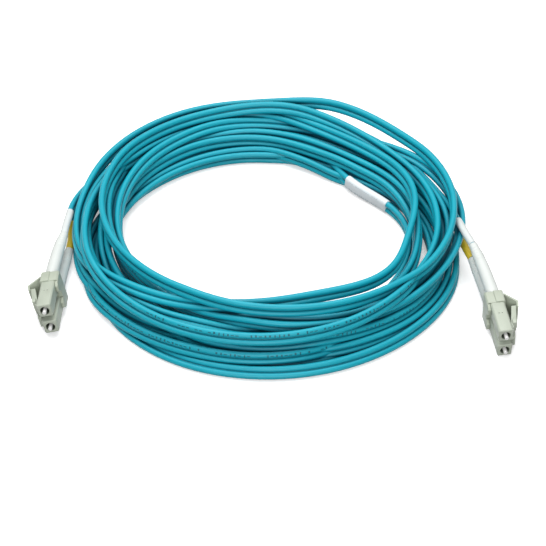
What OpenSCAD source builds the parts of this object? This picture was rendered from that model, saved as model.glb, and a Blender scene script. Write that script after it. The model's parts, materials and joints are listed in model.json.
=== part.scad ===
// Duplex fibre optic patch cord: a two-leg zip cord wound in a loose ring, with a two-plug
// connector on each end. The ring lies flat on z = 0 and each connector lies on its side.
// Each connector is drawn in its own axes: +X out of the nose, +Z to the latches, and the
// two plugs side by side along Y, with the nose faces at x = 0.

/* [Cord] */
// Diameter of one round leg of the zip cord
leg_d = 2; // [1.8:0.05:2]
// Distance between the legs' centres while they are joined
zip_pitch = 2.1; // [2.1:0.05:2.3]
// Diameter of a marker sleeve on a leg
sleeve_d = 2.4; // [2.3:0.05:2.6]

/* [Ring of turns] */
// Inner radius of the wound ring
ring_inner = 45; // [43:1:47]
// Outer radius of the wound ring
ring_outer = 62.5; // [61:0.5:63.5]
// Height of the wound ring
ring_h = 15; // [13:1:16]

/* [Plug] */
// Distance between the two ferrules
pitch = 6.25; // [6.25:0.01:6.4]
// Side of the square nose
nose_w = 4.52; // [4.4:0.02:4.6]
// Length of the nose housing
nose_len = 12.4; // [12:0.1:12.6]
// Radius of the round well that the ferrule stands in
well_r = 1.45; // [1.4:0.05:1.5]
// Ferrule radius
ferrule_r = 0.625; // [0.62:0.005:0.63]
// How far the ferrule stands out of the nose
ferrule_out = 1.3; // [1:0.1:1.8]
// How far the ferrule can be pushed back
float_travel = 0.8; // [0.5:0.1:1]

/* [Latch and trigger] */
// Width of a latch lever
latch_w = 2.2; // [1.8:0.1:2.4]
// Width of the trigger that spans both latches
trigger_w = 9.6; // [9:0.1:10]
// Thickness of the trigger's plate
trigger_t = 0.6; // [0.5:0.05:0.7]

/* [Clip and boot] */
// Length of the duplex clip
clip_len = 4.75; // [4.5:0.05:4.75]
// Largest radius of a boot
boot_r = 2.15; // [2.05:0.05:2.2]
// Radius of a boot's tail
boot_tail_r = 1.35; // [1.3:0.05:1.5]
// Length of a boot
boot_len = 23.25; // [22:0.25:24]

/* [Hidden] */
$fn = 48;
eps = 0.02;

// Where each connector's nose lies, and how it is turned: roll, pitch, yaw
place_a = [-68.8, -14.5, 6.72];
turn_a = [104, -2, -93];
place_b = [71.2, -24.5, 5.36];
turn_b = [-89, 6, -80.5];
// The ring's centre on the ground
ring_at = [-1.6, 30.5, 0];

// The middle line between the two legs, from behind the boots into the ring
route_a = [[-66.6, 27.5, 5.5], [-66.4, 31.5, 5.4], [-66, 36.5, 5.3], [-65, 42.5, 5.2],
    [-63.2, 48.5, 5.1], [-60.5, 54.5, 5], [-57, 60, 5], [-52.6, 65.5, 5]];
route_b = [[64, 17, 9.7], [62.6, 21.5, 9.9], [61, 26.5, 9.8], [59.4, 31.5, 9.4],
    [58, 36.5, 9], [56.4, 41.5, 8.6], [54.4, 46.5, 8.2], [51.6, 52.5, 8]];
// Half the distance between the legs at each point of a route, down to the joined cord
spread = [3.05, 2.85, 2.5, 2.1, 1.6, 1.2, 1.05, 1.05];
joined_from = 6;
// A sleeve's first and last points along its leg
sleeve_from = 13;
sleeve_to = 26;

// Stations along a plug's axis, from the nose back to the end of the boot
ferrule_back = -4.2;
shoulder_x = -5.6;
flange_x = -6;
flange_back = -6.9;
stop_x = -10.6;
rear_x = -17;
clip_x = -17.2;
barrel_x = -21.5;
ring_x = -23.5;
boot_x = -17.25;
boot_back = boot_x - boot_len;
bore_end = -24.4;
// Radii inside a plug
cavity_r = 1.9;
rear_w = 4.3;
holder_r = 1.2;
flange_r = 1.75;
flange_tail_r = 1;
ferrule_tail_r = 0.42;
fibre_bore_r = 0.55;
fibre_r = 0.45;
stem_r = 1.2;
yarn_r = 1.45;
crimp_r = 1.7;
spring_r = 1.4;
wire_r = 0.18;
// Latch and trigger pivots, which are thin bending roots on the real mouldings
latch_pivot = [-3.4, 2.66];
trigger_pivot = [-16.2, 2.98];
root_r = 0.34;

// A square outline with cut corners
function cut_square(w, c) = [[-w / 2 + c, -w / 2], [w / 2 - c, -w / 2], [w / 2, -w / 2 + c],
    [w / 2, w / 2 - c], [w / 2 - c, w / 2], [-w / 2 + c, w / 2], [-w / 2, w / 2 - c],
    [-w / 2, -w / 2 + c]];

// A point on the curve that runs smoothly through p1 and p2
function between(p0, p1, p2, p3, t) = 0.5 * (2 * p1 + (p2 - p0) * t
    + (2 * p0 - 5 * p1 + 4 * p2 - p3) * t * t + (3 * p1 - p0 - 3 * p2 + p3) * t * t * t);
function smooth(p, n) = [for (i = [0:len(p) - 2]) for (k = [0:n - 1])
    between(p[max(i - 1, 0)], p[i], p[i + 1], p[min(i + 2, len(p) - 1)], k / n),
    p[len(p) - 1]];
function unit(v) = v / norm(v);
function heading(p, i) = unit(p[min(i + 1, len(p) - 1)] - p[max(i - 1, 0)]);

// One ring of a swept outline, side vector level and the other one upright
function side_of(t) = unit(cross(t, [0, 0, 1]));
function ring_points(c, t, outline) = [for (q = outline)
    c + q[0] * side_of(t) + q[1] * cross(side_of(t), t)];

// A closed solid swept along a list of points
module sweep(path, outline) {
    m = len(outline);
    n = len(path);
    points = [for (i = [0:n - 1]) each ring_points(path[i], heading(path, i), outline)];
    walls = [for (i = [0:n - 2]) for (j = [0:m - 1])
        [i * m + j, i * m + (j + 1) % m, (i + 1) * m + (j + 1) % m, (i + 1) * m + j]];
    ends = [[for (j = [m - 1:-1:0]) j], [for (j = [0:m - 1]) (n - 1) * m + j]];
    polyhedron(points = points, faces = concat(walls, ends), convexity = 4);
}

function round_outline(r, n) = [for (j = [0:n - 1]) r * [cos(360 * j / n), sin(360 * j / n)]];
// The joined cord's outline: two half circles on a straight web, standing on edge
function zip_outline() = [for (s = [1, -1]) for (j = [0:5])
    [leg_d / 2 * s * cos(36 * j), s * zip_pitch / 2 + leg_d / 2 * s * sin(36 * j)]];

// Which way along Y a plug lies: plug 1 is the upper one, and 0 is the clip between them
function plug_y(side, i) = i == 0 ? 0 : (i == 1 ? side : -side) * pitch / 2;

module end_a(i) {
    translate(place_a) rotate(turn_a) translate([0, plug_y(1, i), 0]) children();
}

module end_b(i) {
    translate(place_b) rotate(turn_b) translate([0, plug_y(-1, i), 0]) children();
}

// A straight round solid between two stations on a plug's axis
module rod(r, x0, x1) {
    translate([x0, 0, 0]) rotate([0, 90, 0]) cylinder(r = r, h = x1 - x0);
}

module tube(r_out, r_in, x0, x1) {
    difference() {
        rod(r_out, x0, x1);
        rod(r_in, x0 - 1, x1 + 1);
    }
}

module housing() {
    h = nose_w / 2;
    color("#c3cbb6")
    difference() {
        union() {
            intersection() {
                translate([-nose_len, 0, 0])
                rotate([90, 0, 90])
                linear_extrude(nose_len)
                polygon(cut_square(nose_w, 0.45));
                rotate([90, 0, 0])
                translate([0, 0, -h])
                linear_extrude(nose_w)
                polygon([[-nose_len, -h], [-0.35, -h], [0, -h + 0.35], [0, h - 0.35],
                    [-0.35, h], [-nose_len, h]]);
                translate([0, 0, -h])
                linear_extrude(nose_w)
                polygon([[-nose_len, -h], [-0.25, -h], [0, -h + 0.25], [0, h - 0.25],
                    [-0.25, h], [-nose_len, h]]);
            }
            // the ramp in front of the latch's root
            rotate([90, 0, 0])
            translate([0, 0, -latch_w / 2])
            linear_extrude(latch_w)
            polygon([[-0.7, h - 0.3], [-0.7, h], [-3, h + 1], [-3, h - 0.3]]);
        }
        rod(well_r, shoulder_x, 1);
        rod(cavity_r, -nose_len - 1, shoulder_x);
        // two small snap pits on each flank
        for (s = [-1, 1], z = [-0.5, 0.5]) {
            translate([-7.8, s * h, z]) cube([0.36, 0.3, 0.36], center = true);
        }
    }
}

module latch() {
    color("#c3cbb6")
    rotate([90, 0, 0]) {
        translate([0, 0, -latch_w / 2])
        linear_extrude(latch_w)
        polygon([[-3.4, 2.32], [-3.4, 4], [-11.3, 5.6], [-11.3, 4.2]]);
        // shoulders that catch behind the socket's edges
        translate([0, 0, -1.75])
        linear_extrude(3.5)
        polygon([[-3.4, 2.95], [-3.4, 4], [-5.2, 4.36], [-5.2, 3.1]]);
        translate([latch_pivot[0], latch_pivot[1], -latch_w / 2])
        cylinder(r = root_r, h = latch_w);
    }
}

module trigger() {
    t = trigger_t;
    color("#b9c2ab")
    rotate([90, 0, 0]) {
        translate([0, 0, -trigger_w / 2])
        linear_extrude(trigger_w)
        polygon([[-16.2, 2.75], [-12.4, 6], [-10.5, 5.62], [-10.4, 5.62 + t],
            [-12.6, 6.1 + t], [-16.5, 3.1]]);
        translate([trigger_pivot[0], trigger_pivot[1], -trigger_w / 2])
        cylinder(r = root_r, h = trigger_w);
    }
}

module clip() {
    x1 = clip_x + clip_len;
    window_w = rear_w + 2 * eps;
    color("#b9c2ab")
    difference() {
        union() {
            translate([clip_x, 0, 0])
            rotate([90, 0, 90])
            linear_extrude(clip_len)
            polygon([[-5, -3.2], [5, -3.2], [5.45, -2.75], [5.45, -0.4], [5.75, -0.2],
                [5.75, 2.2], [5.35, 2.6], [-5.35, 2.6], [-5.75, 2.2], [-5.75, -0.2],
                [-5.45, -0.4], [-5.45, -2.75]]);
            // one arm under each nose, with a narrower tip
            for (s = [-1, 1]) {
                translate([0, s * pitch / 2, -3.2])
                linear_extrude(0.85)
                polygon([[x1 - 0.5, -1.9], [x1 + 0.6, -1.9], [x1 + 1.9, -1], [x1 + 1.9, 1],
                    [x1 + 0.6, 1.9], [x1 - 0.5, 1.9]]);
            }
        }
        // a window for each rear body
        for (s = [-1, 1]) {
            translate([clip_x - 1, s * pitch / 2 - window_w / 2, -window_w / 2])
            cube([clip_len + 2, window_w, window_w]);
        }
    }
}

module ferrule() {
    color("white")
    rotate([0, 90, 0])
    rotate_extrude()
    polygon([[0, flange_x], [ferrule_tail_r, flange_x], [ferrule_tail_r, ferrule_back],
        [ferrule_r, ferrule_back],
        [ferrule_r, ferrule_out - 0.15], [ferrule_r - 0.15, ferrule_out], [0, ferrule_out]]);
}

module flange() {
    color("silver")
    difference() {
        union() {
            rod(holder_r, flange_x, ferrule_back);
            rod(flange_r, flange_back, shoulder_x - 0.05);
            // the tail inside the spring stops short by the float
            rod(flange_tail_r, stop_x + 2 * float_travel, flange_back);
        }
        rod(ferrule_tail_r, flange_x, 0);
        rod(0.3, flange_back, flange_x);
        rod(fibre_bore_r, stop_x, flange_back + 0.3);
    }
}

module spring() {
    turns = 4.5;
    steps = 45;
    x0 = flange_back - wire_r - eps;
    x1 = stop_x + wire_r + eps;
    color("gray")
    spring_sweep([for (i = [0:steps]) [x0 + (x1 - x0) * i / steps,
        spring_r * cos(360 * turns * i / steps), spring_r * sin(360 * turns * i / steps)]]);
}

// A thin wire wound about the X axis, its rings turned with the winding
module spring_sweep(path) {
    n = len(path);
    points = [for (i = [0:n - 1]) each [for (j = [0:5])
        path[i] + wire_r * cos(60 * j) * unit([0, path[i][1], path[i][2]])
        + wire_r * sin(60 * j) * [1, 0, 0]]];
    walls = [for (i = [0:n - 2]) for (j = [0:5])
        [i * 6 + j, i * 6 + (j + 1) % 6, (i + 1) * 6 + (j + 1) % 6, (i + 1) * 6 + j]];
    ends = [[for (j = [5:-1:0]) j], [for (j = [0:5]) (n - 1) * 6 + j]];
    polyhedron(points = points, faces = concat(walls, ends), convexity = 6);
}

module rear_body() {
    color("#b9c2ab")
    difference() {
        union() {
            rod(cavity_r - 0.05, -nose_len - 1, stop_x);
            translate([rear_x, -rear_w / 2, -rear_w / 2])
            cube([-rear_x - nose_len - eps, rear_w, rear_w]);
            rod(stem_r, barrel_x, rear_x);
        }
        rod(fibre_bore_r, barrel_x - 1, stop_x + 1);
    }
}

module yarn() {
    color("gold") tube(yarn_r, stem_r, barrel_x, rear_x - 0.35);
}

module crimp_ring() {
    color("silver") tube(crimp_r, yarn_r, ring_x, rear_x - 0.3);
}

module fibre() {
    color("aqua") rod(fibre_r, ring_x - 0.1, flange_back - float_travel);
}

module boot() {
    tail = boot_back;
    bore = crimp_r + 0.05;
    hole = leg_d / 2 + 0.08;
    color("white")
    rotate([0, 90, 0])
    rotate_extrude()
    polygon([[bore, boot_x], [bore, bore_end + 0.5], [hole, bore_end], [hole, tail],
        [boot_tail_r, tail], [boot_tail_r + 0.08, tail + 1.6], [boot_r - 0.32, tail + 4.4],
        [boot_r - 0.24, tail + 9], [boot_r - 0.04, boot_x - 2.4], [boot_r, boot_x - 1],
        [boot_r, boot_x]]);
}

// The whole middle line of an end, from inside the boots to the route's last point
function route_with_boot(place, turn, route) = concat(
    [at(place, turn, [ring_x - 0.1, 0, 0]), at(place, turn, [-29, 0, 0]),
    at(place, turn, [-35, 0, 0]), at(place, turn, [boot_back, 0, 0])], route);
function at(place, turn, p) = place + turned(turn, p);
function turned(a, p) = about_z(a[2], about_y(a[1], about_x(a[0], p)));
function about_x(a, p) = [p[0], p[1] * cos(a) - p[2] * sin(a), p[1] * sin(a) + p[2] * cos(a)];
function about_y(a, p) = [p[0] * cos(a) + p[2] * sin(a), p[1], p[2] * cos(a) - p[0] * sin(a)];
function about_z(a, p) = [p[0] * cos(a) - p[1] * sin(a), p[0] * sin(a) + p[1] * cos(a), p[2]];

// A leg runs beside the middle line, on the side its plug lies, and closes up to its pair
function leg_line(place, turn, route, y) = let (
    mid = route_with_boot(place, turn, route),
    half = concat([for (k = [0:3]) pitch / 2], spread),
    out = turned(turn, [0, sign(y), 0]),
    upright = [0, 0, sign(out[2])])
    [for (i = [0:len(mid) - 1]) mid[i] + half[i] * unit(out + max(i - 5, 0) * upright)];

module leg(place, turn, route, y) {
    line = leg_line(place, turn, route, y);
    color("#1fa3b8")
    sweep(smooth([for (i = [0:4 + joined_from]) line[i]], 2), round_outline(leg_d / 2, 8));
}

module marker_sleeve(place, turn, route, y, shade) {
    line = smooth(leg_line(place, turn, route, y), 4);
    color(shade)
    sweep([for (i = [sleeve_from:sleeve_to]) line[i]], round_outline(sleeve_d / 2, 8));
}

module zip_cord(route) {
    color("#1fa3b8")
    sweep(smooth([for (i = [joined_from:len(route) - 1]) route[i]], 2), zip_outline());
}

module ring_of_turns() {
    color("#1fa3b8")
    translate(ring_at)
    rotate_extrude($fn = 96)
    polygon([[ring_inner + 2, 0], [ring_outer - 2, 0], [ring_outer, 2],
        [ring_outer, ring_h - 6], [ring_outer - 6, ring_h], [ring_inner + 5, ring_h],
        [ring_inner, ring_h - 5], [ring_inner, 2]]);
}

module wrap_label() {
    color("white")
    translate(ring_at)
    rotate([0, 0, 27])
    rotate_extrude(angle = 22, $fn = 96)
    polygon([[42.2, 0.9], [42.9, 0.2], [45, 0.2], [46.4, 1.6], [46.4, 3.6], [45.7, 4.3],
        [43.6, 4.3], [42.2, 2.9]]);
}

end_a(1) housing();  // housing_a1
end_a(2) housing();  // housing_a2
end_a(1) latch();  // latch_a1
end_a(2) latch();  // latch_a2
end_a(1) ferrule();  // ferrule_a1
end_a(2) ferrule();  // ferrule_a2
end_a(1) flange();  // flange_a1
end_a(2) flange();  // flange_a2
end_a(1) spring();  // spring_a1
end_a(2) spring();  // spring_a2
end_a(1) rear_body();  // rear_body_a1
end_a(2) rear_body();  // rear_body_a2
end_a(1) yarn();  // yarn_a1
end_a(2) yarn();  // yarn_a2
end_a(1) crimp_ring();  // crimp_ring_a1
end_a(2) crimp_ring();  // crimp_ring_a2
end_a(1) fibre();  // fibre_a1
end_a(2) fibre();  // fibre_a2
end_a(1) boot();  // boot_a1
end_a(2) boot();  // boot_a2
end_a(0) clip();  // clip_a
end_a(0) trigger();  // trigger_a
end_b(1) housing();  // housing_b1
end_b(2) housing();  // housing_b2
end_b(1) latch();  // latch_b1
end_b(2) latch();  // latch_b2
end_b(1) ferrule();  // ferrule_b1
end_b(2) ferrule();  // ferrule_b2
end_b(1) flange();  // flange_b1
end_b(2) flange();  // flange_b2
end_b(1) spring();  // spring_b1
end_b(2) spring();  // spring_b2
end_b(1) rear_body();  // rear_body_b1
end_b(2) rear_body();  // rear_body_b2
end_b(1) yarn();  // yarn_b1
end_b(2) yarn();  // yarn_b2
end_b(1) crimp_ring();  // crimp_ring_b1
end_b(2) crimp_ring();  // crimp_ring_b2
end_b(1) fibre();  // fibre_b1
end_b(2) fibre();  // fibre_b2
end_b(1) boot();  // boot_b1
end_b(2) boot();  // boot_b2
end_b(0) clip();  // clip_b
end_b(0) trigger();  // trigger_b
leg(place_a, turn_a, route_a, 1);  // leg_a1
leg(place_a, turn_a, route_a, -1);  // leg_a2
leg(place_b, turn_b, route_b, -1);  // leg_b1
leg(place_b, turn_b, route_b, 1);  // leg_b2
marker_sleeve(place_a, turn_a, route_a, 1, "white");  // sleeve_a1
marker_sleeve(place_a, turn_a, route_a, -1, "gold");  // sleeve_a2
marker_sleeve(place_b, turn_b, route_b, -1, "white");  // sleeve_b1
marker_sleeve(place_b, turn_b, route_b, 1, "gold");  // sleeve_b2
zip_cord(route_a);  // zip_cord_a
zip_cord(route_b);  // zip_cord_b
ring_of_turns();
wrap_label();
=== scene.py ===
"""Duplex fibre optic patch cord, wound in a loose ring, with a two-plug connector on each end."""

import json
import math

import bmesh
import bpy
import numpy as np
from mathutils import Matrix, Vector


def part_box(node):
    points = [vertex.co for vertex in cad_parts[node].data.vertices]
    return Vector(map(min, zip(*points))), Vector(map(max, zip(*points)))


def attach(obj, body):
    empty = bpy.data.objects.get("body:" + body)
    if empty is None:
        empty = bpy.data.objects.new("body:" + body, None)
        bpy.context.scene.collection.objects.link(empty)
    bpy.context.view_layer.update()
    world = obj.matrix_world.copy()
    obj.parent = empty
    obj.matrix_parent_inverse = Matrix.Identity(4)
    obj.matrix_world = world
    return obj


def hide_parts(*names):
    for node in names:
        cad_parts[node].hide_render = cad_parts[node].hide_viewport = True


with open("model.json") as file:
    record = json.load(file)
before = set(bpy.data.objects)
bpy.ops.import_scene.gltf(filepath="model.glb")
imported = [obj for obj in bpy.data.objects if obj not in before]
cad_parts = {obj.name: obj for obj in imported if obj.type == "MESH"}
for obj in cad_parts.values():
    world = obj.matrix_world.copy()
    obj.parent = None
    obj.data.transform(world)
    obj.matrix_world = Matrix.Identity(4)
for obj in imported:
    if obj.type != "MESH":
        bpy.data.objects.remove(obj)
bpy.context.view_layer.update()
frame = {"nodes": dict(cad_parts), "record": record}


# ---------------------------------------------------------------------------------------------
# Table top, camera and lights. The cord lies on a plain white table under two broad soft
# lamps and a bright room, and is looked down on at a low angle from the connectors' side.
# ---------------------------------------------------------------------------------------------
scene = bpy.context.scene
scene.view_settings.view_transform = "Standard"

camera_data = bpy.data.cameras.new("camera")
camera_data.sensor_width = 36
camera_data.lens = 186.3
camera = bpy.data.objects.new("camera", camera_data)
camera_down = math.radians(38)
camera_range = 0.9
look_at = Vector((0.0004, 0.0197, -0.0021))
camera.rotation_euler = (math.pi / 2 - camera_down, 0, 0)
camera.location = look_at + camera_range * Vector((0, -math.cos(camera_down), math.sin(camera_down)))
scene.collection.objects.link(camera)
scene.camera = camera


def lamp(name, place, aim, width, depth, watts, colour=(1, 1, 1)):
    data = bpy.data.lights.new(name, "AREA")
    data.shape = "RECTANGLE"
    data.size, data.size_y = width, depth
    data.energy = watts
    data.color = colour
    obj = bpy.data.objects.new(name, data)
    obj.location = place
    obj.rotation_euler = (Vector(aim) - Vector(place)).to_track_quat("-Z", "Y").to_euler()
    scene.collection.objects.link(obj)


lamp("lamp_over", (-0.1, 0.22, 0.75), (0, 0.02, 0), 0.8, 0.6, 5.6)
lamp("lamp_front", (0, -0.75, 0.36), (0, 0.02, 0), 0.5, 0.3, 3.6)

# the room is bright overhead and falls away to a dim floor level
world = bpy.data.worlds.new("room")
scene.world = world
world.use_nodes = True
room = world.node_tree
facing = room.nodes.new("ShaderNodeTexCoord")
upward = room.nodes.new("ShaderNodeSeparateXYZ")
strength = room.nodes.new("ShaderNodeMapRange")
strength.inputs["From Min"].default_value = -0.1
strength.inputs["From Max"].default_value = 0.9
strength.inputs["To Min"].default_value = 0.03
strength.inputs["To Max"].default_value = 0.58
room.links.new(facing.outputs["Generated"], upward.inputs["Vector"])
room.links.new(upward.outputs["Z"], strength.inputs["Value"])
room.links.new(strength.outputs["Result"], room.nodes["Background"].inputs["Strength"])
room.nodes["Background"].inputs["Color"].default_value = (1, 1, 1, 1)

bpy.ops.mesh.primitive_plane_add(size=6, location=(0, 0, -0.0002))
table_top = bpy.context.object
table_top.name = "table_top"
table_paint = bpy.data.materials.new("table_paint")
table_paint.use_nodes = True
paint = table_paint.node_tree.nodes["Principled BSDF"]
paint.inputs["Base Color"].default_value = (0.95, 0.95, 0.95, 1)
paint.inputs["Roughness"].default_value = 0.9
paint.inputs["Emission Color"].default_value = (1, 1, 1, 1)
paint.inputs["Emission Strength"].default_value = 0.4
table_top.data.materials.append(table_paint)
table_top.visible_diffuse = False


# ---------------------------------------------------------------------------------------------
# The cord: two 2 mm round legs of soft plastic over a fibre, moulded side by side and joined by
# a thin web. It leaves the boots of connector A as two legs, joins up, is wound fourteen times
# by hand into a loose leaning ring, and splits again into the boots of connector B.
# ---------------------------------------------------------------------------------------------
mm = 0.001
leg_r = 1.0
zip_pitch = 2.1
plug_pitch = 6.25
boot_x, boot_len, boot_bend = -17.25, 23.25, 1.3

# The middle line between the two legs, in millimetres, from behind the boots into the ring
route_a = [(-66.6, 27.5, 5.5), (-66.4, 31.5, 5.4), (-66, 36.5, 5.3), (-65, 42.5, 5.2),
           (-63.2, 48.5, 5.1), (-60.5, 54.5, 5), (-57, 60, 5), (-52.6, 65.5, 5)]
route_b = [(64, 17, 9.7), (62.6, 21.5, 9.9), (61, 26.5, 9.8), (59.4, 31.5, 9.4),
           (58, 36.5, 9), (56.4, 41.5, 8.6), (54.4, 46.5, 8.2), (51.6, 52.5, 8)]
spread = [3.05, 2.85, 2.5, 2.1, 1.6, 1.2, 1.05, 1.05]
in_boot = [-36.0, -38.5, -40.5]
leg_bend = (1.05, 1.1, 0.9, 0.5, 0.2)

low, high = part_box("ring_of_turns")
ring_centre = np.array([(low.x + high.x) / 2, (low.y + high.y) / 2]) / mm
mounts = {m["name"]: m for m in frame["record"]["mounts"]}


class Connector:
    """One connector's own axes: x out of the noses, y from plug to plug, z to the latches."""

    def __init__(self, end, side, coilward):
        first, second = (mounts[f"ferrule_{end}{i}_tip"] for i in (1, 2))
        self.side = side
        self.coilward = np.array(coilward, float)
        self.x = np.array(first["axis"], float)
        across = side * (np.array(first["pos_m"]) - np.array(second["pos_m"]))
        self.y = across / np.linalg.norm(across)
        self.z = np.cross(self.x, self.y)
        middle = (np.array(first["pos_m"]) + np.array(second["pos_m"])) / 2
        self.origin = middle / mm + 1.5 * self.x

    def at(self, p):
        """A point given along the connector's axes; behind the clip it follows the bent boots."""
        back = max(0, boot_x - p[0]) / boot_len
        return (self.origin + p[0] * self.x + p[1] * self.y + p[2] * self.z
                + boot_bend * back ** 2 * self.coilward)

    def plug_y(self, i):
        return (self.side if i == 1 else -self.side) * plug_pitch / 2


ends = {"a": Connector("a", 1, (1, 0, 0)), "b": Connector("b", -1, (-1, 0, 0))}


def leg_points(connector, route, i):
    """A leg's own points: beside the middle line in the boot, closing up to its pair."""
    middle = [connector.at((x, 0, 0)) for x in in_boot] + [np.array(p, float) for p in route]
    # the legs keep the bend of the boots for a little way
    for k, share in enumerate(leg_bend):
        middle[len(in_boot) + k] += share * boot_bend * connector.coilward
    half = [plug_pitch / 2] * len(in_boot) + spread
    out = connector.y * np.sign(connector.plug_y(i))
    upright = np.array([0, 0, np.sign(out[2])])
    first_turned = len(in_boot) + 1
    line = []
    for k, point in enumerate(middle):
        aim = out + max(k - first_turned, 0) * upright
        line.append(point + half[k] * aim / np.linalg.norm(aim))
    return np.array(line)


def curve_through(points, steps):
    """A smooth curve through the points, with the same number of steps between each two."""
    p = np.concatenate([2 * points[:1] - points[1:2], points, 2 * points[-1:] - points[-2:-1]])
    out = []
    for k in range(len(points) - 1):
        a, b, c, d = p[k:k + 4]
        for t in np.arange(steps) / steps:
            out.append(0.5 * (2 * b + (c - a) * t + (2 * a - 5 * b + 4 * c - d) * t ** 2
                              + (3 * b - a - 3 * c + d) * t ** 3))
    return np.array(out + [points[-1]])


leg_ends = {(end, i): curve_through(leg_points(ends[end], route, i), 4)
            for end, route in (("a", route_a), ("b", route_b)) for i in (1, 2)}

# How the ring is wound. Each pass across the front is a loop of its own: its centre to the
# right and to the back of the ring's, its size, and its height. Low passes lie towards the
# connectors and high ones away from them; a pass changes to the next one at the back.
stations = 120
whole_turns = 14
passes = [(0, -4, 57, 4), (2.5, -7.8, 55.5, 2), (0, -5.6, 55, 2), (-3, -5.4, 55, 4.2), (3, -3, 55, 2),
          (-7.5, 3, 54.2, 2), (3, -2.8, 55, 6.2), (-6.4, 2, 54.4, 4.4), (5, 3.4, 55, 4.6),
          (-7, 3.2, 54.2, 9), (6, 5.5, 54.8, 8), (6.5, 2.4, 55.2, 10.6), (-8.6, 9.2, 54.2, 12.6),
          (4.8, 6.8, 57, 14.8), (-2, -2.2, 57, 10.5), (3, 6, 58, 10), (3, 6, 58, 10)]
# Where passes bulge: first and last pass, angle, width of the bulge, outwards, upwards
bulges = [(0, 4, 54, 28, -5.6, 0), (6, 12, 58, 30, -6.8, 0), (5, 5, 47, 28, -9.8, 0),
          (13, 13, 72, 20, 0.2, 2), (14, 14, 62, 24, -2.4, 0), (15, 16, 72, 20, 0.8, 2),
          (13, 16, 40, 18, -1.2, 0), (12, 12, 180, 40, 0, -4), (12, 12, -40, 24, 6.2, 0),
          (9, 9, -36, 28, 4.5, 0), (7, 7, -40, 30, 2, 0), (1, 3, -20, 25, 1.5, 0)]
# Share of a turn by which the change lies past the start, and how far apart the turns begin
back_shift, rise = 0.346, 4.2
# How far the ring is out of round, how much the back has sunk, and how far the pair leans over
oval, sunk, lean = 0.6, 0.09, math.radians(25)
# The hand's unsteadiness, each as its size and its wave in turns: outwards, upwards and in roll
unsteady_out, unsteady_up, unsteady_roll = (0.2, 0.31), (0.15, 0.27), (0.12, 0.33)


def turned(p):
    """A point as its radius and angle about the ring's centre."""
    return np.linalg.norm(p[:2] - ring_centre), math.atan2(p[1] - ring_centre[1], p[0] - ring_centre[0])


def slow_noise(random, along, height, wave):
    """A smooth random wander along the cord."""
    g = random.standard_normal(int(along[-1] / wave) + 5)
    k = np.floor(along / wave).astype(int)
    t = along / wave - k
    a, b, c, d = g[k], g[k + 1], g[k + 2], g[k + 3]
    return height * 0.5 * (2 * b + (c - a) * t + (2 * a - 5 * b + 4 * c - d) * t ** 2
                           + (3 * b - a - 3 * c + d) * t ** 3)


def smoothed(values, width):
    reach = int(3 * width) + 1
    weight = np.exp(-np.arange(-reach, reach + 1) ** 2 / (2 * width * width))
    weight /= weight.sum()
    padded = np.concatenate([np.repeat(values[:1], reach, 0), values, np.repeat(values[-1:], reach, 0)])
    return np.stack([np.convolve(padded[:, c], weight, "valid") for c in range(values.shape[1])], 1)


def wind_ring():
    """Each station's two leg centres, as radius and height, and the station's angle."""
    random = np.random.default_rng(11)
    first_r, first_angle = turned(np.array(route_a[-1]))
    last_r, last_angle = turned(np.array(route_b[-1]))
    turns = whole_turns + (first_angle - last_angle) / (2 * math.pi)
    n = int(round(turns * stations)) + 1
    along = np.arange(n) / stations
    angle = first_angle - 2 * math.pi * along

    table = np.array(passes, float)
    place = along + back_shift
    k = np.floor(place).astype(int)
    t = np.clip((place - k - 0.1) / 0.8, 0, 1)
    w = (t * t * (3 - 2 * t))[:, None]
    loop = table[k] * (1 - w) + table[k + 1] * w
    radius = loop[:, 0] * np.cos(angle) + loop[:, 1] * np.sin(angle) + loop[:, 2]
    radius += -oval * np.cos(2 * angle) + slow_noise(random, along, *unsteady_out)
    height = 1 + (loop[:, 3] - 1) * (1 - sunk * (1 + np.sin(angle)))
    height += slow_noise(random, along, *unsteady_up)
    roll = math.radians(90) - lean * np.sin(angle) + slow_noise(random, along, *unsteady_roll)
    onset = 0.12
    for first, last, where, wide, outwards, upwards in bulges:
        off = (np.degrees(angle) - where + 180) % 360 - 180
        begun = np.clip((place - first + 0.5) / onset + 0.5, 0, 1)
        going = np.clip((last + 0.5 - place) / onset + 0.5, 0, 1)
        bump = np.exp(-(off / wide) ** 2) * begun ** 2 * (3 - 2 * begun) * going ** 2 * (3 - 2 * going)
        radius += outwards * bump
        height += upwards * bump

    fade = 20
    near = np.exp(-(np.arange(n) / fade) ** 2)
    far = near[::-1]
    rest = (1 - near) * (1 - far)
    radius = radius * rest + first_r * near + last_r * far
    height = height * rest + route_a[-1][2] * near + route_b[-1][2] * far
    roll = roll * rest + math.pi / 2 * (near + far)
    wanted = np.stack([radius, height], 1)
    wanted_half = np.stack([np.cos(roll), np.sin(roll)], 1) * zip_pitch / 2
    return settle(wanted, wanted_half, along, angle)


def fixed_legs(angle):
    """The legs between boots and ring where they pass each station's angle, which stay put."""
    out = np.full((stations, len(leg_ends), 2), 1e3)
    here = np.degrees(angle[:stations])
    for slot, line in enumerate(leg_ends.values()):
        polar = np.array([turned(p) for p in line[4 * len(in_boot):-3]])
        where = np.degrees(np.unwrap(polar[:, 1]))
        order = np.argsort(where)
        for turn in (-360, 0, 360):
            inside = (here + turn >= where.min()) & (here + turn <= where.max())
            heights = line[4 * len(in_boot):-3, 2]
            out[inside, slot, 0] = np.interp(here[inside] + turn, where[order], polar[order, 0])
            out[inside, slot, 1] = np.interp(here[inside] + turn, where[order], heights[order])
    return out


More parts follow.
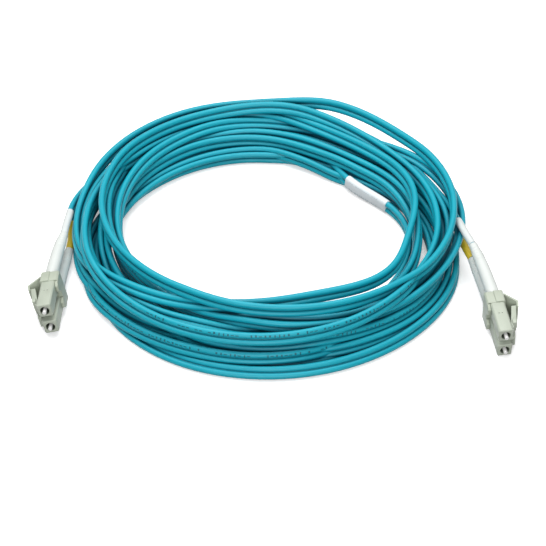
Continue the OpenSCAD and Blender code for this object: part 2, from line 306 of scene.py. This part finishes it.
def settle(wanted, wanted_half, along, angle):
    """Presses the turns down from well apart until they lie on each other, pair by pair."""
    # shares of the way that a station goes in one step: towards its place, down, and up
    pull, sink, climb = 0.012, 0.03, 0.01
    # shares of an overlap that are undone: between two turns, and against the legs that stay put
    part_turns, part_fixed, furthest, move, twist = 0.45, 0.6, 0.6, 0.7, 0.25
    # how many stations the line and the roll are smoothed over, early on and late
    smooth_line, smooth_roll, held = (3.0, 1.5), (4.0, 3.0), 24
    n = len(wanted)
    from_end = np.minimum(np.arange(n), n - 1 - np.arange(n))
    rows = int(math.ceil(n / stations))
    there = np.arange(rows * stations) < n
    there = np.repeat(there.reshape(rows, stations).T, 2, axis=1)
    meets = there[:, :, None] & there[:, None, :]
    for k in range(rows):
        meets[:, 2 * k:2 * k + 2, 2 * k:2 * k + 2] = False
    fixed = fixed_legs(angle)
    free = np.clip(from_end / held, 0, 1)[:, None]
    # the boots of connector A stand against the ring's left side
    beside_boots, extra_room, boots_wide = 61.2, 9, 40
    left = (np.degrees(angle) - 180 + 180) % 360 - 180
    widest = beside_boots + extra_room * (1 - np.exp(-(left / boots_wide) ** 4))
    centre, half = wanted.copy(), wanted_half.copy()
    centre[:, 1] += along * rise
    gap = 2 * leg_r + 0.1
    count = 500
    for step in range(count):
        done = step / count
        lift = along * rise * max(0, 1 - done / 0.6)
        centre[:, 0] += pull * (wanted[:, 0] - centre[:, 0])
        drop = wanted[:, 1] + lift - centre[:, 1]
        centre[:, 1] += np.where(drop < 0, sink, climb) * drop
        for _ in range(2):
            legs = np.full((rows * stations, 2, 2), 1e3)
            legs[:n, 0], legs[:n, 1] = centre + half, centre - half
            legs = legs.reshape(rows, stations, 2, 2).transpose(1, 0, 2, 3).reshape(stations, rows * 2, 2)
            apart = legs[:, :, None] - legs[:, None, :]
            distance = np.sqrt((apart ** 2).sum(-1)) + 1e-9
            share = np.where(meets, np.maximum(gap - distance, 0), 0) / distance * part_turns
            push = (apart * share[..., None]).sum(2)
            apart = legs[:, :, None] - fixed[:, None, :]
            distance = np.sqrt((apart ** 2).sum(-1)) + 1e-9
            share = np.maximum(gap - distance, 0) / distance * part_fixed
            push += (apart * share[..., None]).sum(2) * max(0, done - 0.5) * 2
            push = push.reshape(stations, rows, 2, 2).transpose(1, 0, 2, 3).reshape(-1, 2, 2)[:n]
            for side, leg in enumerate((centre + half, centre - half)):
                push[:, side, 1] += np.maximum(leg_r - leg[:, 1], 0)
                push[:, side, 0] -= np.maximum(leg[:, 0] - widest, 0)
            push = np.clip(push, -furthest, furthest)
            centre = centre + move * push.sum(1)
            half = half + twist * (push[:, 0] - push[:, 1])
            half *= zip_pitch / 2 / np.linalg.norm(half, axis=1, keepdims=True)
        late = done >= 0.8
        centre = wanted + smoothed((centre - wanted) * free, smooth_line[late]) * free
        half = smoothed(half, smooth_roll[late]) + 0.02 * wanted_half
        half = half * free + wanted_half * (1 - free)
        half *= zip_pitch / 2 / np.linalg.norm(half, axis=1, keepdims=True)
    return np.stack([centre + half, centre - half], 1), angle


wound, wound_angle = wind_ring()
outwards = np.stack([np.cos(wound_angle), np.sin(wound_angle)], 1)[:, None]
wound_xyz = np.concatenate([ring_centre + wound[..., :1] * outwards, wound[..., 1:]], -1)

legs = []
for i in (1, 2):
    start, finish = leg_ends["a", i], leg_ends["b", i][::-1]
    line = np.concatenate([start[:-1], wound_xyz[:, i - 1], finish[1:]])
    # ease the two joints between the routes and the ring
    for joint in (len(start) - 1, len(line) - len(finish)):
        near = np.exp(-((np.arange(len(line)) - joint) / 7) ** 2)[:, None]
        line = line + near * (smoothed(line, 2.5) - line)
    legs.append(line)
middle_line = (legs[0] + legs[1]) / 2
joined = slice(len(leg_ends["a", 1]) - 9, len(legs[0]) - len(leg_ends["b", 1]) + 9)


def unit(v):
    return v / np.linalg.norm(v, axis=-1, keepdims=True)


def ribbon_axes(line, across):
    """For each point of a line: along it, across towards the other leg, and off the flat face."""
    ahead = unit(np.gradient(line, axis=0))
    across = unit(across - (across * ahead).sum(1, keepdims=True) * ahead)
    return ahead, across, np.cross(across, ahead)


def swept(line, across, outline):
    """Rings of an outline along a line; the outline is one for all rings or one for each."""
    _, side, face = ribbon_axes(line, across)
    outline = np.broadcast_to(outline, (len(line),) + np.shape(outline)[-2:])
    return line[:, None] + outline[..., :1] * side[:, None] + outline[..., 1:] * face[:, None]


def ring_outline(radius, sides):
    around = np.arange(sides) / sides * 2 * math.pi
    return radius * np.stack([np.cos(around), np.sin(around)], 1)


class Skin:
    """Gathers closed tubes, each with its length along and its share around as its UV map."""

    def __init__(self):
        self.points, self.faces, self.uvs, self.count = [], [], [], 0

    def tube(self, rings, shift=0.0):
        n, sides = rings.shape[:2]
        length = np.linalg.norm(np.diff(rings.mean(1), axis=0), axis=1)
        length = np.concatenate([[0], np.cumsum(length)]) * mm
        base = self.count
        self.points.append(rings.reshape(-1, 3))
        self.count += n * sides
        for k in range(n - 1):
            for j in range(sides):
                after = (j + 1) % sides
                self.faces.append((base + k * sides + j, base + k * sides + after,
                                   base + (k + 1) * sides + after, base + (k + 1) * sides + j))
                v, w = j / sides + shift, (j + 1) / sides + shift
                self.uvs += [(length[k], v), (length[k], w), (length[k + 1], w), (length[k + 1], v)]
        self.faces.append(tuple(base + j for j in range(sides))[::-1])
        self.faces.append(tuple(base + (n - 1) * sides + j for j in range(sides)))
        self.uvs += [(length[0], 0.5 + shift)] * sides + [(length[-1], 0.5 + shift)] * sides

    def piece(self, name, material):
        mesh = bpy.data.meshes.new(name)
        mesh.from_pydata((np.concatenate(self.points) * mm).tolist(), [], self.faces)
        layer = mesh.uv_layers.new(name="along")
        layer.data.foreach_set("uv", np.array(self.uvs, np.float32).ravel())
        bm = bmesh.new()
        bm.from_mesh(mesh)
        bmesh.ops.recalc_face_normals(bm, faces=bm.faces)
        bm.to_mesh(mesh)
        bm.free()
        mesh.polygons.foreach_set("use_smooth", [len(p.vertices) == 4 for p in mesh.polygons])
        mesh.materials.append(material)
        obj = bpy.data.objects.new(name, mesh)
        scene.collection.objects.link(obj)
        return obj


class Socket:
    """A number in a material, which Python's own operators work on."""

    def __init__(self, finish, socket):
        self.finish, self.socket = finish, socket

    def math(self, operation, *values):
        return self.finish.node("ShaderNodeMath", {"operation": operation}, dict(enumerate(values)))

    def __add__(self, other):
        return self.math("ADD", self, other)

    def __sub__(self, other):
        return self.math("SUBTRACT", self, other)

    def __rsub__(self, other):
        return self.math("SUBTRACT", other, self)

    def __mul__(self, other):
        return self.math("MULTIPLY", self, other)

    def __truediv__(self, other):
        return self.math("DIVIDE", self, other)

    def __mod__(self, other):
        return self.math("FLOORED_MODULO", self, other)

    def __lt__(self, other):
        return self.math("LESS_THAN", self, other)

    def __gt__(self, other):
        return self.math("GREATER_THAN", self, other)

    __radd__, __rmul__ = __add__, __mul__


class Nodes:
    """A node tree that is built up one node at a time."""

    def join(self, socket, value):
        if isinstance(value, Socket):
            self.tree.links.new(value.socket, socket)
        else:
            socket.default_value = value

    def node(self, kind, settings, sockets, out=0):
        made = self.tree.nodes.new(kind)
        for key, value in settings.items():
            setattr(made, key, value)
        for key, value in sockets.items():
            self.join(made.inputs[key], value)
        return Socket(self, made.outputs[out])


class Finish(Nodes):
    """A material: fixed shader values by name, and nodes for what varies over the surface."""

    def __init__(self, name, **fixed):
        self.material = bpy.data.materials.new(name)
        self.material.use_nodes = True
        self.tree = self.material.node_tree
        self.shader = self.tree.nodes["Principled BSDF"]
        for key, value in fixed.items():
            self.shader.inputs[key.replace("_", " ").title().replace("Ior", "IOR")].default_value = value

    def place(self):
        return self.node("ShaderNodeTexCoord", {}, {}, "Object")

    def noise(self, scale, detail=2.0, vector=None):
        sockets = {"Vector": vector or self.place(), "Scale": scale, "Detail": detail}
        return self.node("ShaderNodeTexNoise", {}, sockets)

    def blend(self, share, first, second):
        sockets = {0: share, 6: first, 7: second}
        return self.node("ShaderNodeMix", {"data_type": "RGBA"}, sockets, 2)

    def remap(self, value, low, high, to_low, to_high):
        sockets = {0: value, 1: low, 2: high, 3: to_low, 4: to_high}
        return self.node("ShaderNodeMapRange", {}, sockets)

    def openness(self, reach):
        """1 on an open surface, less where the same piece stands close in front of it; painted shade is
        taken from it.
        """
        settings = {"samples": 12, "only_local": True}
        return self.node("ShaderNodeAmbientOcclusion", settings, {"Distance": reach}, "AO")

    def feed(self, **values):
        for key, value in values.items():
            self.join(self.shader.inputs[key.replace("_", " ").title()], value)

    def bump(self, height, distance, strength=1.0):
        sockets = {"Height": height, "Distance": distance, "Strength": strength}
        self.feed(normal=self.node("ShaderNodeBump", {}, sockets))


jacket = Finish("jacket", specular_ior_level=0.38)
measured = jacket.node("ShaderNodeUVMap", {"uv_map": "along"}, {})
along_cord = jacket.node("ShaderNodeSeparateXYZ", {}, {0: measured}, 0)
around_cord = jacket.node("ShaderNodeSeparateXYZ", {}, {0: measured}, 1)
# a row of plain ink ticks and dashes, in groups, on the outer face of the first leg only
tick_step, group_step, group_length = 0.0014, 0.93, 0.11
# heights round the leg, as shares of its girth, and the shares of blank and upright marks
print_at, print_height, dash_height, uneven = 0.75, 0.17, 0.05, 0.05
blank_share, upright_share = 0.25, 0.6
tick = along_cord / tick_step
chance = jacket.node("ShaderNodeTexWhiteNoise", {"noise_dimensions": "1D"}, {"W": tick.math("FLOOR", tick)})
second = (chance * 7) % 1
third = (chance * 31) % 1
top = print_at + print_height / 2 - second * uneven
bottom = print_at - print_height / 2 + third * uneven
upright = (tick % 1 > 0.25) * (tick % 1 < second * 0.2 + 0.5)
level = (around_cord > print_at - dash_height / 2) * (around_cord < print_at + dash_height / 2)
level = level * (tick % 1 > 0.15) * (tick % 1 < 0.85)
inked = (upright * (third < upright_share) + level * (third > upright_share)) * (chance > blank_share)
inked = inked * (along_cord % group_step < group_length)
inked = inked * (around_cord > bottom) * (around_cord < top)
plastic = jacket.blend(jacket.noise(70), (0.002, 0.335, 0.445, 1), (0.006, 0.42, 0.53, 1))
# painted shade: the jacket is darkened in the crease between the legs and under the upper turns, where its
# own turns stand close
painted_crease_shade = jacket.remap(jacket.openness(0.004), 0.25, 0.85, 0.9, 0)
plastic = jacket.blend(painted_crease_shade, plastic, (0.0002, 0.075, 0.13, 1))
jacket.feed(base_color=jacket.blend(inked * 0.8, plastic, (0.002, 0.05, 0.075, 1)))
jacket.feed(roughness=jacket.remap(jacket.noise(900), 0.3, 0.7, 0.4, 0.5))
jacket.bump(jacket.noise(1500, 4), 0.00004, 0.35)

cord_skin = Skin()
leg_across = legs[1] - legs[0]
for number, line in enumerate(legs):
    cord_skin.tube(swept(line, leg_across, ring_outline(leg_r, 16)), number)
web = np.array([(0.9, 0.22), (-0.9, 0.22), (-0.9, -0.22), (0.9, -0.22)])
cord_skin.tube(swept(middle_line[joined], leg_across[joined], web), 2)
cord = cord_skin.piece("cord", jacket.material)
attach(cord, "cord_and_housings")
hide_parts("ring_of_turns", "zip_cord_a", "zip_cord_b", "leg_a1", "leg_a2", "leg_b1", "leg_b2")


# ---------------------------------------------------------------------------------------------
# Marker sleeves: short lengths of coloured heat-shrink tube, one on each leg behind its boot.
# White marks one fibre and yellow the other; each is shrunk tight onto the jacket.
# ---------------------------------------------------------------------------------------------
sleeve_r = 1.2
sleeve_first, sleeve_last = 9, 22


def rounded_ends(line, outline, lip):
    """An outline for each ring of a line, drawn in a little at both ends over a short lip."""
    length = np.concatenate([[0], np.cumsum(np.linalg.norm(np.diff(line, axis=0), axis=1))])
    from_end = np.minimum(length, length[-1] - length)
    inside = np.clip(from_end / lip, 0, 1)
    scale = 1 - 0.14 * (1 - np.sqrt(1 - (1 - inside) ** 2))
    return outline[None] * scale[:, None, None]


def resampled(line, across, first, last, step):
    """A stretch of a line between two lengths along it, with even short steps."""
    length = np.concatenate([[0], np.cumsum(np.linalg.norm(np.diff(line, axis=0), axis=1))])
    lip = [first + d for d in (0, 0.03, 0.08, 0.15, 0.25)]
    body = list(np.arange(first + 0.5, last - 0.4, step))
    where = np.array(lip + body + [first + last - d for d in lip[::-1]])
    picked = [np.stack([np.interp(where, length, v[:, c]) for c in range(3)], 1) for v in (line, across)]
    return picked


def shrunk_plastic(name, light, dark):
    finish = Finish(name)
    finish.feed(base_color=finish.blend(finish.noise(350, 3), dark, light))
    finish.feed(roughness=finish.remap(finish.noise(800), 0.3, 0.7, 0.36, 0.52))
    finish.bump(finish.noise(900, 4), 0.00008, 0.4)
    return finish


sleeve_finish = {"white": shrunk_plastic("sleeve_white", (0.74, 0.77, 0.76, 1), (0.67, 0.71, 0.70, 1)),
                 "yellow": shrunk_plastic("sleeve_yellow", (0.74, 0.56, 0.035, 1), (0.63, 0.46, 0.03, 1))}
for end in "ab":
    for i in (1, 2):
        shade = "white" if i == 1 else "yellow"
        line, other = leg_ends[end, i], leg_ends[end, 3 - i]
        length = np.concatenate([[0], np.cumsum(np.linalg.norm(np.diff(line, axis=0), axis=1))])
        line, across = resampled(line, other - line, length[sleeve_first], length[sleeve_last], 0.4)
        skin = Skin()
        skin.tube(swept(line, across, rounded_ends(line, ring_outline(sleeve_r, 28), 0.25)))
        sleeve = skin.piece(f"marker_sleeve_{end}{i}", sleeve_finish[shade].material)
        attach(sleeve, "cord_and_housings")
        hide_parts(f"sleeve_{end}{i}")


# ---------------------------------------------------------------------------------------------
# Wrap label: a laminated paper label wrapped once round both legs of one low turn at the far
# right of the ring, and stuck to itself. It carries two faint rows of plain dashes.
# ---------------------------------------------------------------------------------------------
label_pass, label_angle, label_length, label_r = 5, math.radians(39), 18.2, 1.32
label_turn = label_pass - 1 + (wound_angle[0] - label_angle) / (2 * math.pi)
label_station = len(leg_ends["a", 1]) - 1 + int(round(label_turn * stations))
near_label = slice(label_station - 6, label_station + 7)
label_line = curve_through(middle_line[near_label], 6)
label_across = curve_through(leg_across[near_label], 6)
label_middle = np.linalg.norm(np.diff(label_line, axis=0), axis=1).sum() / 2
label_line, label_across = resampled(label_line, label_across, label_middle - label_length / 2,
                                     label_middle + label_length / 2, 0.5)
half_round = ring_outline(label_r, 32)
over_leg = np.where(half_round[:, 0] > 1e-6, 1, -1) * zip_pitch / 2
stadium = half_round + np.stack([over_leg, half_round[:, 1] * 0], 1)

label_paper = Finish("label_white")
on_label = label_paper.node("ShaderNodeUVMap", {"uv_map": "along"}, {})
label_x = label_paper.node("ShaderNodeSeparateXYZ", {}, {0: on_label}, 0)
label_v = label_paper.node("ShaderNodeSeparateXYZ", {}, {0: on_label}, 1)
dash = label_x / 0.0009
dash_number = dash.math("FLOOR", dash)
dash_chance = label_paper.node("ShaderNodeTexWhiteNoise", {"noise_dimensions": "1D"}, {"W": dash_number})
dashes = (dash_chance > 0.3) * (dash % 1 > 0.25) * (label_x > 0.002) * (label_x < 0.0145)
rows = (label_v % 0.5 > 0.19) * (label_v % 0.5 < 0.225) + (label_v % 0.5 > 0.27) * (label_v % 0.5 < 0.305)
paper = label_paper.blend(label_paper.noise(400, 3), (0.76, 0.82, 0.85, 1), (0.82, 0.88, 0.91, 1))
label_paper.feed(base_color=label_paper.blend(dashes * rows * 0.3, paper, (0.16, 0.24, 0.3, 1)))
label_paper.feed(roughness=label_paper.remap(label_paper.noise(700), 0.3, 0.7, 0.3, 0.42))
label_paper.bump(label_paper.noise(500, 3), 0.00006, 0.3)

label_skin = Skin()
label_skin.tube(swept(label_line, label_across, rounded_ends(label_line, stadium, 0.2)))
label = label_skin.piece("cord_wrap_label", label_paper.material)
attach(label, "cord_and_housings")
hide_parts("wrap_label")
tuple(middle_line[0] * mm)
(middle_line * mm).tolist()


# ---------------------------------------------------------------------------------------------
# Ferrules: ground and polished zirconia tubes, 1.25 mm across, that hold the bare fibre on
# their axis. Each is pressed into a nickel-plated flange and floats on a small wire spring.
# ---------------------------------------------------------------------------------------------
def dress(kind, finish):
    """Gives a finish to all of a kind of CAD node, on both connectors."""
    for name, obj in frame["nodes"].items():
        if name.startswith(kind):
            if not obj.material_slots:
                obj.data.materials.append(finish.material)
            for slot in obj.material_slots:
                slot.material = finish.material


def turned_metal(name, light, dark, roughness, grain):
    """Metal with fine tool marks and a little tarnish."""
    finish = Finish(name, metallic=1.0)
    tarnish = finish.noise(600, 3)
    marks = finish.noise(grain, 2)
    finish.feed(base_color=finish.blend(tarnish, dark, light))
    finish.feed(roughness=finish.remap(marks, 0.3, 0.7, roughness, roughness + 0.16))
    finish.bump(marks, 0.00002, 0.25)
    return finish


ceramic = Finish("ceramic", coat_weight=0.4, coat_roughness=0.08)
ceramic.feed(base_color=ceramic.blend(ceramic.noise(700, 3), (0.88, 0.88, 0.86, 1), (0.95, 0.95, 0.93, 1)))
ceramic.feed(roughness=ceramic.remap(ceramic.noise(2500), 0.3, 0.7, 0.14, 0.24))
ceramic.bump(ceramic.noise(6000), 0.000006, 0.2)
dress("ferrule", ceramic)
dress("flange", turned_metal("flange_metal", (0.72, 0.69, 0.62, 1), (0.6, 0.57, 0.5, 1), 0.22, 4000))


# ---------------------------------------------------------------------------------------------
# Springs: drawn steel wire wound open, one behind each flange. Each is held between the flange
# and the rear body and presses its ferrule forward against the mating one.
# ---------------------------------------------------------------------------------------------
class Recipe(Nodes):
    """A geometry-nodes tree that makes one kind of piece from its named sizes."""

    def __init__(self, name, **kinds):
        self.tree = bpy.data.node_groups.new(name, "GeometryNodeTree")
        for label, kind in kinds.items():
            self.tree.interface.new_socket(label, in_out="INPUT", socket_type="NodeSocket" + kind)
        self.tree.interface.new_socket("made", in_out="OUTPUT", socket_type="NodeSocketGeometry")
        given = self.tree.nodes.new("NodeGroupInput")
        self.size = {label: Socket(self, given.outputs[label]) for label in kinds}

    def wire(self, path, radius, sides):
        """A round wire along a path."""
        outline = self.node("GeometryNodeCurvePrimitiveCircle", {}, {"Resolution": sides, "Radius": radius})
        sockets = {"Curve": path, "Profile Curve": outline, "Fill Caps": True}
        return self.node("GeometryNodeCurveToMesh", {}, sockets)

    def finish(self, geometry, finish):
        solid = self.node("GeometryNodeRealizeInstances", {}, {"Geometry": geometry})
        sockets = {"Geometry": solid, "Material": finish.material}
        dressed = self.node("GeometryNodeSetMaterial", {}, sockets)
        self.tree.links.new(dressed.socket, self.tree.nodes.new("NodeGroupOutput").inputs["made"])

    def make(self, name, **sizes):
        """A plain mesh of the piece, along Z from its origin."""
        obj = bpy.data.objects.new(name, bpy.data.meshes.new(name))
        scene.collection.objects.link(obj)
        making = obj.modifiers.new("making", "NODES")
        making.node_group = self.tree
        for socket in self.tree.interface.items_tree:
            if socket.name in sizes:
                making[socket.identifier] = sizes[socket.name]
        bpy.context.view_layer.update()
        evaluated = obj.evaluated_get(bpy.context.evaluated_depsgraph_get())
        obj.data = bpy.data.meshes.new_from_object(evaluated)
        obj.modifiers.clear()
        return obj


def into_plug(obj, connector, i, x):
    """Turns a mesh made along Z to point backwards along a plug's axis, starting at x."""
    start = connector.at((x, connector.plug_y(i), 0)) * mm
    columns = np.stack([connector.y, -connector.z, -connector.x, start])
    obj.data.transform(Matrix(columns.T.tolist() + [[0, 0, 0, 1]]))
    bm = bmesh.new()
    bm.from_mesh(obj.data)
    bmesh.ops.recalc_face_normals(bm, faces=bm.faces)
    bm.to_mesh(obj.data)
    bm.free()


spring_front, spring_back, spring_r, wire_r, spring_turns = -7.1, -10.4, 1.4, 0.18, 4.5
spring_steel = turned_metal("spring_steel", (0.6, 0.61, 0.62, 1), (0.46, 0.47, 0.48, 1), 0.26, 7000)
winding = Recipe("wire_spring", turns="Float", coil_radius="Float", length="Float", wire_radius="Float")
helix = winding.node("GeometryNodeCurveSpiral", {}, {
    "Resolution": 28, "Rotations": winding.size["turns"], "Start Radius": winding.size["coil_radius"],
    "End Radius": winding.size["coil_radius"], "Height": winding.size["length"]})
winding.finish(winding.wire(helix, winding.size["wire_radius"], 12), spring_steel)
for end, connector in ends.items():
    for i in (1, 2):
        spring = winding.make(f"ferrule_spring_{end}{i}", turns=spring_turns, coil_radius=spring_r * mm,
                              length=(spring_front - spring_back) * mm, wire_radius=wire_r * mm)
        into_plug(spring, connector, i, spring_front)
        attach(spring, "cord_and_housings")
        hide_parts(f"spring_{end}{i}")


# ---------------------------------------------------------------------------------------------
# Fibre, yarn and crimp ring: the buffered fibre runs on to the ferrule, and the cord's aramid
# yarn is folded back over the rear body's stem and gripped by a crimped aluminium ring.
# ---------------------------------------------------------------------------------------------
fibre_buffer = Finish("fibre_buffer")
acrylate = fibre_buffer.blend(fibre_buffer.noise(500), (0.01, 0.3, 0.36, 1), (0.02, 0.38, 0.43, 1))
fibre_buffer.feed(base_color=acrylate)
fibre_buffer.feed(roughness=fibre_buffer.remap(fibre_buffer.noise(1500), 0.3, 0.7, 0.24, 0.36))
dress("fibre", fibre_buffer)

aramid = Finish("aramid", sheen_weight=0.3)
strands = aramid.noise(9000, 3)
aramid.feed(base_color=aramid.blend(strands, (0.5, 0.33, 0.05, 1), (0.78, 0.6, 0.16, 1)))
aramid.feed(roughness=aramid.remap(strands, 0.3, 0.7, 0.5, 0.75))
aramid.bump(strands, 0.00006, 0.8)
yarn_front, yarn_back, yarn_ring_r, strand_r, strand_count = -17.37, -21.48, 1.325, 0.1, 40
fold = Recipe("yarn_fold", strands="Int", ring_radius="Float", length="Float", strand_radius="Float",
              wander="Float")
far_end = fold.node("ShaderNodeCombineXYZ", {}, {"Z": fold.size["length"]})
strand = fold.node("GeometryNodeCurvePrimitiveLine", {}, {"End": far_end})
strand = fold.node("GeometryNodeResampleCurve", {}, {"Curve": strand, "Count": 14})
ring = fold.node("GeometryNodeMeshCircle", {}, {"Vertices": fold.size["strands"],
                                                "Radius": fold.size["ring_radius"]})
bundle = fold.node("GeometryNodeInstanceOnPoints", {}, {"Points": ring, "Instance": strand})
bundle = fold.node("GeometryNodeRealizeInstances", {}, {"Geometry": bundle})
drift = fold.node("ShaderNodeTexNoise", {}, {"Scale": 700, "Detail": 1}, "Color")
drift = fold.node("ShaderNodeVectorMath", {"operation": "SUBTRACT"}, {0: drift, 1: (0.5, 0.5, 0.5)})
sideways = fold.node("ShaderNodeCombineXYZ", {}, {"X": fold.size["wander"], "Y": fold.size["wander"]})
drift = fold.node("ShaderNodeVectorMath", {"operation": "MULTIPLY"}, {0: drift, 1: sideways})
bundle = fold.node("GeometryNodeSetPosition", {}, {"Geometry": bundle, "Offset": drift})
fold.finish(fold.wire(bundle, fold.size["strand_radius"], 7), aramid)
for end, connector in ends.items():
    for i in (1, 2):
        yarn = fold.make(f"yarn_strands_{end}{i}", strands=strand_count, ring_radius=yarn_ring_r * mm,
                         length=(yarn_front - yarn_back) * mm, strand_radius=strand_r * mm, wander=0.00008)
        into_plug(yarn, connector, i, yarn_front)
        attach(yarn, "cord_and_housings")
        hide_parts(f"yarn_{end}{i}")
dress("crimp_ring", turned_metal("crimp_metal", (0.62, 0.63, 0.65, 1), (0.5, 0.51, 0.53, 1), 0.34, 2500))


# ---------------------------------------------------------------------------------------------
# Housings and rear bodies: the plugs' two halves, moulded in beige-grey plastic with a satin
# spark-eroded texture. The rear body snaps into the housing and closes the spring in.
# ---------------------------------------------------------------------------------------------
def moulded(name, light, dark):
    """Satin plastic: a fine eroded grain, cloudy colour, and painted shade in the hollows."""
    finish = Finish(name)
    clouds = finish.noise(260, 3)
    grain = finish.noise(5200, 3)
    # painted shade: near-black green where the same piece stands close in front, as in the wells and
    # hollows
    painted_recess_shade = finish.remap(finish.openness(0.004), 0.3, 0.9, 0.9, 0)
    colour = finish.blend(clouds, dark, light)
    finish.feed(base_color=finish.blend(painted_recess_shade, colour, (0.045, 0.06, 0.04, 1)))
    finish.feed(roughness=finish.remap(clouds + grain * 0.5, 0.45, 1.05, 0.36, 0.55))
    finish.bump(grain, 0.00003, 0.45)
    return finish


def smooth_by_angle(mesh, degrees):
    mesh.polygons.foreach_set("use_smooth", [True] * len(mesh.polygons))
    mesh.set_sharp_from_angle(angle=math.radians(degrees))


def rounded_copy(node, name, finish, width, segments=3):
    """A copy of a CAD node with its sharp moulded edges rounded over."""
    bm = bmesh.new()
    bm.from_mesh(frame["nodes"][node].data)
    bmesh.ops.remove_doubles(bm, verts=bm.verts, dist=1e-7)
    bmesh.ops.dissolve_limit(bm, angle_limit=math.radians(0.6), verts=bm.verts, edges=bm.edges)
    mesh = bpy.data.meshes.new(name)
    bm.to_mesh(mesh)
    bm.free()
    mesh.materials.append(finish.material)
    obj = bpy.data.objects.new(name, mesh)
    scene.collection.objects.link(obj)
    bevel = obj.modifiers.new("rounding", "BEVEL")
    bevel.width = width * mm
    bevel.segments = segments
    bevel.limit_method = "ANGLE"
    bevel.angle_limit = math.radians(28)
    bevel.use_clamp_overlap = True
    bpy.context.view_layer.update()
    solid = bpy.data.meshes.new_from_object(obj.evaluated_get(bpy.context.evaluated_depsgraph_get()))
    obj.modifiers.clear()
    obj.data = solid
    smooth_by_angle(solid, 32)
    return obj


def settle_in(obj, body, node):
    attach(obj, body)
    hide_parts(node)


housing_plastic = moulded("housing", (0.495, 0.545, 0.455, 1), (0.435, 0.48, 0.395, 1))
for end in "ab":
    for i in (1, 2):
        nose = rounded_copy(f"housing_{end}{i}", f"plug_housing_{end}{i}", housing_plastic, 0.1)
        settle_in(nose, "cord_and_housings", f"housing_{end}{i}")
dress("rear_body", housing_plastic)


# ---------------------------------------------------------------------------------------------
# Latches: the springy arm moulded on each housing, with shoulders that catch in the socket.
# It bends about a thin root at the nose when the trigger presses its free end.
# ---------------------------------------------------------------------------------------------
for end in "ab":
    for i in (1, 2):
        arm = rounded_copy(f"latch_{end}{i}", f"latch_arm_{end}{i}", housing_plastic, 0.12)
        settle_in(arm, f"latch_{end}{i}", f"latch_{end}{i}")


# ---------------------------------------------------------------------------------------------
# Clip and trigger: one clip snaps round both rear bodies and makes the pair of plugs a duplex.
# Its wide trigger leans forward over both latches, and frees the two plugs with one press.
# ---------------------------------------------------------------------------------------------
clip_plastic = moulded("clip", (0.47, 0.52, 0.42, 1), (0.41, 0.455, 0.37, 1))
for end in "ab":
    clip = rounded_copy(f"clip_{end}", f"duplex_clip_{end}", clip_plastic, 0.16)
    settle_in(clip, "cord_and_housings", f"clip_{end}")
    lever = rounded_copy(f"trigger_{end}", f"duplex_trigger_{end}", clip_plastic, 0.14)
    settle_in(lever, f"trigger_{end}", f"trigger_{end}")


# ---------------------------------------------------------------------------------------------
# Boots: soft white rubber sleeves pushed over the crimp rings, which stop the legs bending
# sharply. The tail is thinner and ringed with shallow grooves, and bends towards the ring.
# ---------------------------------------------------------------------------------------------
boot_r, boot_tail_r, groove_step, groove_deep = 2.15, 1.35, 1.3, 0.17
groove_from, groove_to = 15.4, 22.3
profile = [(0, boot_r), (1, boot_r), (2.4, boot_r - 0.06), (14.2, boot_r - 0.24),
           (18.8, boot_r - 0.36), (21.6, boot_tail_r + 0.14), (boot_len, boot_tail_r)]
boot_rubber = Finish("boot_white", sheen_weight=0.15)
off_white = boot_rubber.blend(boot_rubber.noise(220, 3), (0.66, 0.70, 0.67, 1), (0.73, 0.76, 0.735, 1))
boot_rubber.feed(base_color=off_white)
boot_rubber.feed(roughness=boot_rubber.remap(boot_rubber.noise(1100), 0.3, 0.7, 0.48, 0.62))
boot_rubber.bump(boot_rubber.noise(2600, 3), 0.00003, 0.35)

rim = [0, 0, 0.05, 0.12, 0.22]
back = np.concatenate([rim, np.arange(0.4, boot_len - 0.2, 0.18), [boot_len - 0.12, boot_len - 0.03]])
radii = np.interp(back, *np.array(profile).T)
grooved = (back > groove_from) & (back < groove_to)
groove = 0.5 - 0.5 * np.cos(2 * math.pi * (back - groove_from) / groove_step)
radii -= np.where(grooved, groove_deep * groove, 0)
radii[:5] -= (0.5, 0.12, 0.06, 0.02, 0)
# the tail's rim, and the mouth that the leg comes out of
back = np.concatenate([back, [boot_len, boot_len, boot_len - 0.1, boot_len - 0.8]])
radii = np.concatenate([radii, [boot_tail_r - 0.06, leg_r + 0.14, leg_r + 0.07, leg_r + 0.07]])
for end, connector in ends.items():
    for i in (1, 2):
        y = connector.plug_y(i)
        centres = np.array([connector.at((boot_x - b, y, 0)) for b in back])
        behind = np.array([connector.at((boot_x - b - 0.05, y, 0)) for b in back])
        before = np.array([connector.at((boot_x - b + 0.05, y, 0)) for b in back])
        along_boot, across = unit(behind - before), np.broadcast_to(connector.y, centres.shape)
        side = unit(across - (across * along_boot).sum(1, keepdims=True) * along_boot)
        face = np.cross(side, along_boot)
        circle = ring_outline(1, 44)
        around = circle[:, :1] * side[:, None] + circle[:, 1:] * face[:, None]
        rings = centres[:, None] + radii[:, None, None] * around
        skin = Skin()
        skin.tube(rings)
        boot = skin.piece(f"strain_boot_{end}{i}", boot_rubber.material)
        settle_in(boot, "cord_and_housings", f"boot_{end}{i}")
